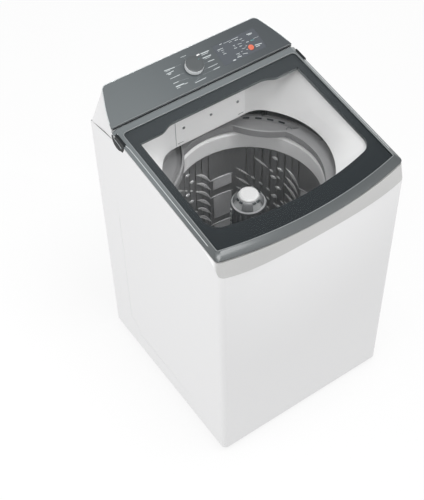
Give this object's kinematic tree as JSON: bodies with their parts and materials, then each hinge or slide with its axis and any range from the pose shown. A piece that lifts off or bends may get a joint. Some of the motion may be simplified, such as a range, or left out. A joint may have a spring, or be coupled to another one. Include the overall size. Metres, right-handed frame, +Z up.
{
  "type": "top load washing machine",
  "caption": "Free-standing top load washing machine with a hinged glass lid, a sloped rear console with a dial, a spinning steel basket and a vaned agitator",
  "frame": {"origin": "centre of the bounding box at floor level, under the feet", "axes": "+X to the right as a user faces it, +Y to the back, +Z up"},
  "size_m": [0.662, 0.7139, 1.111],
  "materials": {
    "white_enamel": "smooth white baked enamel",
    "galvanised_steel": "dull zinc coat",
    "stainless_steel": "fine brushed",
    "spring_steel": "oiled wire",
    "white_plastic": "fine satin moulding",
    "grey_plastic": "fine satin moulding",
    "tub_plastic": "filled polypropylene, matt",
    "agitator_plastic": "satin moulding",
    "lid_plastic": "metallic grey lacquer with a thin silver line",
    "lid_glass": "clear tempered",
    "glass_print": "dark printed band behind glass",
    "console_plastic": "metallic grey lacquer",
    "display_plastic": "smoked display window",
    "dial_plastic": "silver lacquer",
    "button_plastic": "orange red, glossy",
    "cap_plastic": "white, glossy",
    "dark_plastic": "fine grain",
    "foot_plastic": "smooth",
    "black_rubber": "matt",
    "cast_aluminium": "as cast",
    "circuit_board": "green solder mask"
  },
  "bodies": {
    "cabinet": {"cabinet_wrap": "white_enamel", "rear_panel": "galvanised_steel", "panel_screws": "galvanised_steel", "base_frame": "grey_plastic", "corner_brackets": "galvanised_steel", "suspension_rods": "galvanised_steel", "suspension_springs": "spring_steel", "motor_capacitor": "galvanised_steel", "top_cover": "white_plastic", "inner_rear_panel": "white_plastic", "water_duct": "white_plastic", "inlet_pipe": "white_plastic", "inlet_valve": "tub_plastic", "drain_outlet": "dark_plastic", "cable_gland": "dark_plastic", "hinge_covers": "dark_plastic", "hinge_brackets": "galvanised_steel", "hinge_pins": "galvanised_steel", "lid_bumpers": "black_rubber", "lid_lock_housing": "dark_plastic", "console_housing": "white_plastic", "console_panel": "console_plastic", "display_window": "display_plastic", "control_board": "circuit_board", "dial_encoder": "dark_plastic", "pressure_switch": "dark_plastic"},
    "lid": {"lid_frame": "lid_plastic", "lid_glass": "lid_glass", "lid_border": "glass_print", "lid_strike": "galvanised_steel"},
    "tub": {"outer_tub": "tub_plastic", "tub_ring": "grey_plastic", "tub_ring_screws": "galvanised_steel", "damper_sleeves": "dark_plastic", "tub_bearings": "galvanised_steel", "shaft_seal": "black_rubber", "mechanism_bracket": "galvanised_steel", "gearcase": "cast_aluminium", "motor_housing": "cast_aluminium", "drive_belt": "black_rubber", "drain_pump": "dark_plastic"},
    "basket": {"basket_drum": "stainless_steel", "basket_base": "stainless_steel", "balance_ring": "grey_plastic", "basket_hub": "cast_aluminium", "spin_tube": "stainless_steel"},
    "agitator": {"agitator": "agitator_plastic", "agitator_collar": "grey_plastic", "wash_shaft": "stainless_steel", "drive_pulley": "cast_aluminium"},
    "softener_cap": {"softener_cap": "cap_plastic"},
    "motor_rotor": {"motor_rotor": "galvanised_steel"},
    "pump_impeller": {"pump_impeller": "dark_plastic"},
    "programme_dial": {"programme_dial": "dial_plastic"},
    "start_button": {"start_button": "button_plastic"},
    "lock_bolt": {"lock_bolt": "galvanised_steel"},
    "foot_front_left": {"foot_front_left": "foot_plastic"},
    "foot_front_right": {"foot_front_right": "foot_plastic"},
    "foot_rear_left": {"foot_rear_left": "foot_plastic"},
    "foot_rear_right": {"foot_rear_right": "foot_plastic"}
  },
  "joints": [
    {"name": "lid_hinge", "type": "hinge", "parent": "cabinet", "child": "lid", "pos_m": [0, 0.20017, 1.05201], "axis": [-1, 0, 0], "range_deg": [0, 100]},
    {"name": "tub_bounce", "type": "slide", "parent": "cabinet", "child": "tub", "axis": [0, 0, 1], "range_m": [-0.02, 0.02], "stiffness_N_per_m": 5700, "springref_m": 0.05731, "deforming": ["suspension_springs"]},
    {"name": "basket_spin", "type": "hinge", "parent": "tub", "child": "basket", "pos_m": [0, -0.014, 0.5], "axis": [0, 0, 1], "continuous": true},
    {"name": "agitator_turn", "type": "hinge", "parent": "tub", "child": "agitator", "pos_m": [0, -0.014, 0.5], "axis": [0, 0, 1], "continuous": true},
    {"name": "rotor_turn", "type": "hinge", "parent": "tub", "child": "motor_rotor", "pos_m": [0.16, -0.014, 0.14], "axis": [0, 0, 1], "continuous": true},
    {"name": "cap_lift", "type": "slide", "parent": "agitator", "child": "softener_cap", "axis": [0, 0, 1], "range_m": [0, 0.08]},
    {"name": "impeller_turn", "type": "hinge", "parent": "tub", "child": "pump_impeller", "pos_m": [-0.15, 0.06, 0.2], "axis": [0, 0, 1], "continuous": true},
    {"name": "dial_turn", "type": "hinge", "parent": "cabinet", "child": "programme_dial", "pos_m": [0.003, 0.2749, 1.0829], "axis": [0, -0.3469, 0.9379], "continuous": true},
    {"name": "button_press", "type": "slide", "parent": "cabinet", "child": "start_button", "axis": [0, 0.3469, -0.9379], "range_m": [0, 0.0015], "stiffness_N_per_m": 600, "springref_m": -0.001},
    {"name": "bolt_slide", "type": "slide", "parent": "cabinet", "child": "lock_bolt", "axis": [1, 0, 0], "range_m": [0, 0.0055], "stiffness_N_per_m": 100, "springref_m": -0.002},
    {"name": "foot_turn_front_left", "type": "hinge", "parent": "cabinet", "child": "foot_front_left", "pos_m": [-0.29, -0.298, 0.03], "axis": [0, 0, 1], "continuous": true},
    {"name": "foot_turn_front_right", "type": "hinge", "parent": "cabinet", "child": "foot_front_right", "pos_m": [0.29, -0.298, 0.03], "axis": [0, 0, 1], "continuous": true},
    {"name": "foot_turn_rear_left", "type": "hinge", "parent": "cabinet", "child": "foot_rear_left", "pos_m": [-0.29, 0.298, 0.03], "axis": [0, 0, 1], "continuous": true},
    {"name": "foot_turn_rear_right", "type": "hinge", "parent": "cabinet", "child": "foot_rear_right", "pos_m": [0.29, 0.298, 0.03], "axis": [0, 0, 1], "continuous": true}
  ],
  "couplings": [
    {"joint": "rotor_turn", "follows": "agitator_turn", "ratio": 3.694}
  ]
}
